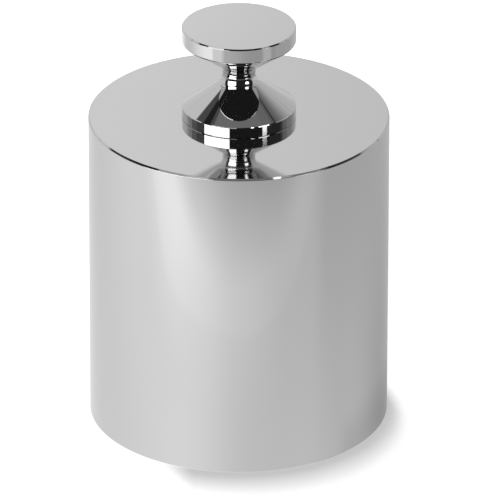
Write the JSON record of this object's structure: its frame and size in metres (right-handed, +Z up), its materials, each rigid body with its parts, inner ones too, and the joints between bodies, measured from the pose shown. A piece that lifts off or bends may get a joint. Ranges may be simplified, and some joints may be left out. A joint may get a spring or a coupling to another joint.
{
  "type": "calibration weight",
  "caption": "Polished stainless steel calibration weight: a plain turned cylinder with a flat base and a waisted lifting knob with a flat disc on top, screwed into its centre.",
  "frame": {"origin": "centre of the flat base, on the surface the weight stands on", "axes": "+Z up along the turning axis, through the lifting knob; X and Y are any two level directions, because every face is turned about Z"},
  "size_m": [0.143, 0.143, 0.2006],
  "materials": {
    "polished_steel_body": "turned and mirror polished",
    "polished_steel_knob": "turned and mirror polished",
    "steel_shot": "cut from drawn wire"
  },
  "bodies": {
    "root": {"weight_body": "polished_steel_body", "lifting_knob": "polished_steel_knob", "adjusting_shot": "steel_shot"}
  },
  "joints": []
}
